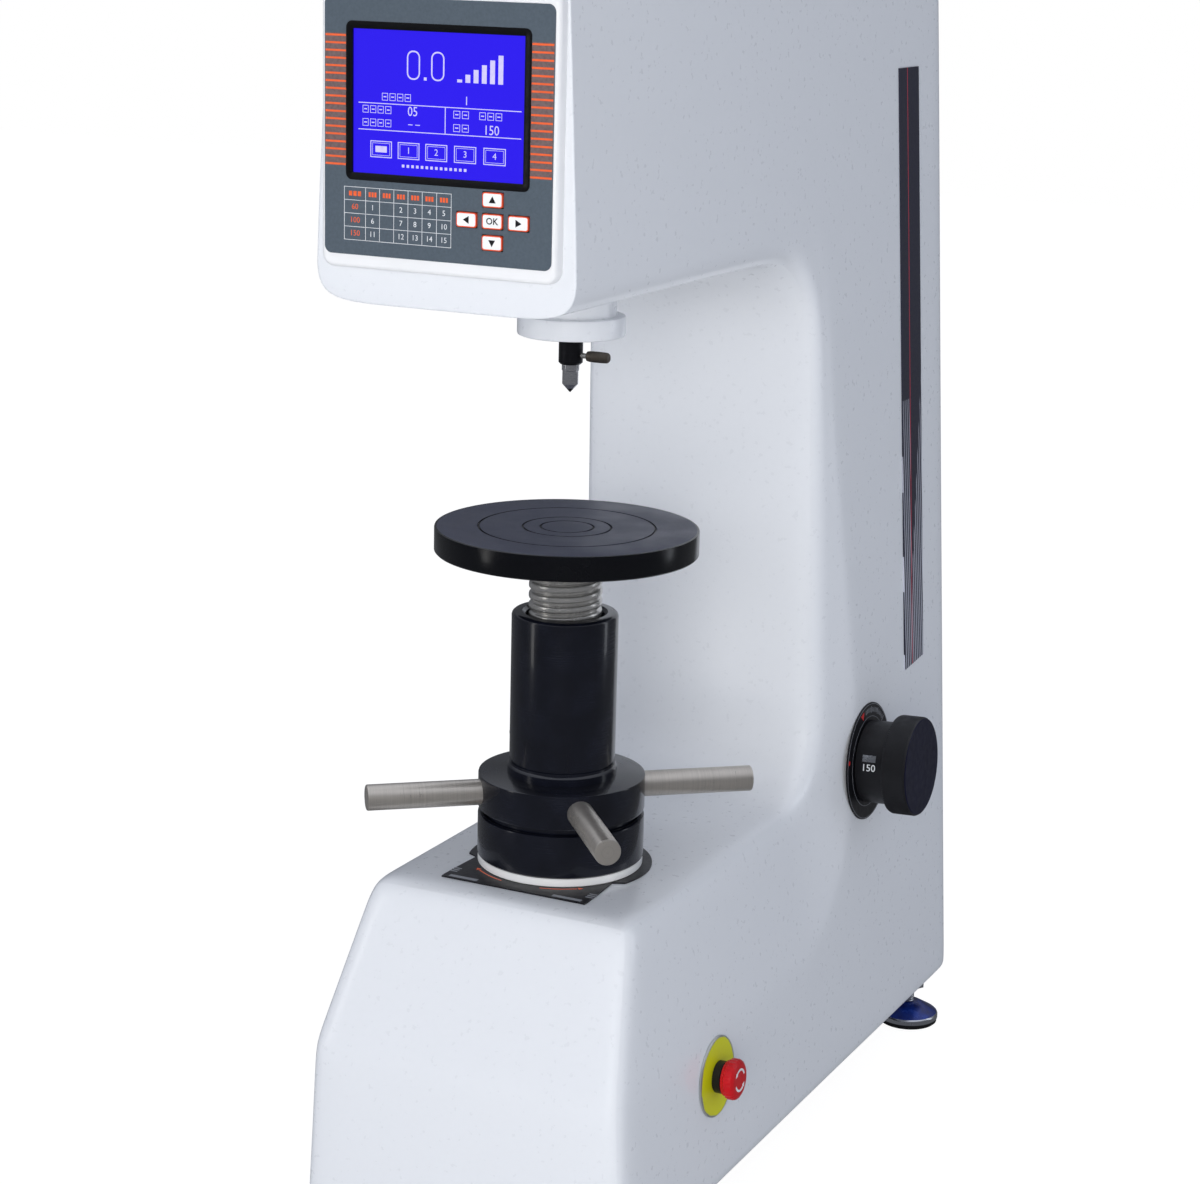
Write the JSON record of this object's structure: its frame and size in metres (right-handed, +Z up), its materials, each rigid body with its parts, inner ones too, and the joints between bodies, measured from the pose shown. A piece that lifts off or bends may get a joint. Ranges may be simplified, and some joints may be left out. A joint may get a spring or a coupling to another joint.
{
  "type": "hardness tester",
  "caption": "Bench hardness tester: C-shaped cast frame with a screw-raised table turned by a barred handwheel, dead-weight lever, front display, load knob and stop button",
  "frame": {"origin": "on the bench, under the middle of the overall footprint", "axes": "+Z up, front and display face -Y, load knob and stop button on the +X side"},
  "size_m": [0.2385, 0.5711, 0.736],
  "materials": {
    "housing_paint": "smooth semi-gloss pale grey-white enamel",
    "cover_paint": "semi-gloss pale enamel",
    "black_moulding": "glossy black moulding",
    "overlay_film": "grey printed film",
    "bezel_plastic": "white moulding",
    "screen_glass": "glossy display glass",
    "key_plastic": "white key caps",
    "board": "green circuit board",
    "bright_steel": "bright plated steel",
    "turned_steel": "fine turned steel",
    "ground_steel": "ground steel",
    "black_steel": "blackened steel",
    "bronze": "oiled bronze",
    "pale_plastic": "satin pale plastic",
    "label_black": "printed black label",
    "strip_film": "printed label film",
    "knob_black": "satin black knob",
    "stop_yellow": "yellow plate",
    "stop_red": "red mushroom button",
    "sole_rubber": "black rubber",
    "cast_weights": "machined cast iron",
    "cast_fittings": "plain cast iron",
    "spring_steel": "oiled spring steel",
    "motor_housing": "dark enamel",
    "unit_case": "folded aluminium sheet"
  },
  "bodies": {
    "frame": {"body_casting": "housing_paint", "top_cover": "cover_paint", "rear_cover": "cover_paint", "bottom_plate": "black_steel", "cover_screws": "black_steel", "foot_soles": "sole_rubber", "foot_pads": "bright_steel", "foot_stems": "bright_steel", "foot_nuts": "bright_steel", "thrust_bearing": "ground_steel", "lower_collar": "black_moulding", "pale_ring": "pale_plastic", "direction_plate": "label_black", "screw_guide": "cast_fittings", "display_bezel": "bezel_plastic", "keypad_overlay": "overlay_film", "lcd_frame": "black_moulding", "lcd_screen": "screen_glass", "display_board": "board", "spindle_nose": "housing_paint", "spindle_bush": "bronze", "preload_spring": "spring_steel", "dial_plate": "label_black", "selector_bush": "bronze", "stop_plate": "stop_yellow", "stop_body": "knob_black", "side_strip": "strip_film", "power_inlet": "knob_black", "power_switch": "knob_black", "serial_port": "ground_steel", "lever_bearings": "cast_fittings", "push_rod_guide": "cast_fittings", "gear_motor": "motor_housing", "displacement_sensor": "unit_case", "control_unit": "unit_case"},
    "table": {"table": "black_steel", "elevating_screw": "ground_steel"},
    "handwheel": {"handwheel_hub": "black_moulding", "handwheel_bars": "turned_steel", "screw_nut": "bronze", "screw_cover": "black_steel", "thrust_washer": "ground_steel"},
    "spindle": {"spindle": "black_steel", "indenter": "turned_steel"},
    "clamp_screw": {"indenter_clamp_screw": "bright_steel"},
    "lever": {"load_lever": "cast_fittings"},
    "weights": {"weight_hanger": "ground_steel", "weight_discs": "cast_weights"},
    "push_rod": {"push_rod": "ground_steel"},
    "lift_cam": {"lift_cam": "ground_steel"},
    "selector": {"load_knob": "knob_black", "selector_shaft": "ground_steel"},
    "stop_stem": {"stop_stem": "knob_black"},
    "stop_button": {"stop_button": "stop_red"},
    "power_rocker": {"power_rocker": "knob_black"},
    "key_up": {"key_up": "key_plastic"},
    "key_down": {"key_down": "key_plastic"},
    "key_left": {"key_left": "key_plastic"},
    "key_right": {"key_right": "key_plastic"},
    "key_ok": {"key_ok": "key_plastic"}
  },
  "joints": [
    {"name": "handwheel_turn", "type": "hinge", "parent": "frame", "child": "handwheel", "pos_m": [-0.014, -0.132, 0.267], "axis": [0, 0, 1], "range_deg": [-4500, 1980]},
    {"name": "table_lift", "type": "slide", "parent": "frame", "child": "table", "axis": [0, 0, 1], "range_m": [-0.0331, 0.0751]},
    {"name": "lever_tilt", "type": "hinge", "parent": "frame", "child": "lever", "pos_m": [-0.014, -0.146, 0.6314], "axis": [1, 0, 0], "range_deg": [-2, 2]},
    {"name": "spindle_slide", "type": "slide", "parent": "frame", "child": "spindle", "axis": [0, 0, 1], "range_m": [-0.0005, 0.0005], "deforming": ["preload_spring"]},
    {"name": "weights_lift", "type": "slide", "parent": "frame", "child": "weights", "axis": [0, 0, 1], "range_m": [-0.0119, 0.0119]},
    {"name": "push_rod_slide", "type": "slide", "parent": "frame", "child": "push_rod", "axis": [0, 0, 1], "range_m": [-0.0084, 0.0084]},
    {"name": "cam_turn", "type": "hinge", "parent": "frame", "child": "lift_cam", "pos_m": [-0.014, 0.093, 0.43], "axis": [1, 0, 0], "range_deg": [-90.1, 90.1]},
    {"name": "clamp_screw_turn", "type": "hinge", "parent": "spindle", "child": "clamp_screw", "pos_m": [-0.014, -0.132, 0.52], "axis": [1, 0, 0], "range_deg": [0, 720]},
    {"name": "load_knob_turn", "type": "hinge", "parent": "frame", "child": "selector", "pos_m": [0.07895, 0.1239, 0.2289], "axis": [0.9988, 0, 0.0499], "range_deg": [-120, 120]},
    {"name": "stop_push", "type": "slide", "parent": "frame", "child": "stop_stem", "axis": [0.9988, 0, 0.0499], "range_m": [-0.004, 0], "stiffness_N_per_m": 600},
    {"name": "stop_twist", "type": "hinge", "parent": "stop_stem", "child": "stop_button", "pos_m": [0.08514, -0.1219, 0.1052], "axis": [0.9988, 0, 0.0499], "range_deg": [-30, 0], "stiffness_Nm_per_rad": 0.03},
    {"name": "key_up_press", "type": "slide", "parent": "frame", "child": "key_up", "axis": [0, 1, 0], "range_m": [0, 0.0005], "stiffness_N_per_m": 900},
    {"name": "key_down_press", "type": "slide", "parent": "frame", "child": "key_down", "axis": [0, 1, 0], "range_m": [0, 0.0005], "stiffness_N_per_m": 900},
    {"name": "key_left_press", "type": "slide", "parent": "frame", "child": "key_left", "axis": [0, 1, 0], "range_m": [0, 0.0005], "stiffness_N_per_m": 900},
    {"name": "key_right_press", "type": "slide", "parent": "frame", "child": "key_right", "axis": [0, 1, 0], "range_m": [0, 0.0005], "stiffness_N_per_m": 900},
    {"name": "key_ok_press", "type": "slide", "parent": "frame", "child": "key_ok", "axis": [0, 1, 0], "range_m": [0, 0.0005], "stiffness_N_per_m": 900},
    {"name": "power_rocker_tilt", "type": "hinge", "parent": "frame", "child": "power_rocker", "pos_m": [0, 0.28093, 0.11805], "axis": [1, 0, 0], "range_deg": [0, 18]}
  ],
  "couplings": [
    {"joint": "table_lift", "follows": "handwheel_turn", "m_per_rad": -0.00095493},
    {"joint": "spindle_slide", "follows": "lever_tilt", "m_per_rad": 0.014},
    {"joint": "weights_lift", "follows": "lever_tilt", "m_per_rad": 0.339},
    {"joint": "push_rod_slide", "follows": "lever_tilt", "m_per_rad": 0.239},
    {"joint": "cam_turn", "follows": "lever_tilt", "ratio": 45}
  ]
}
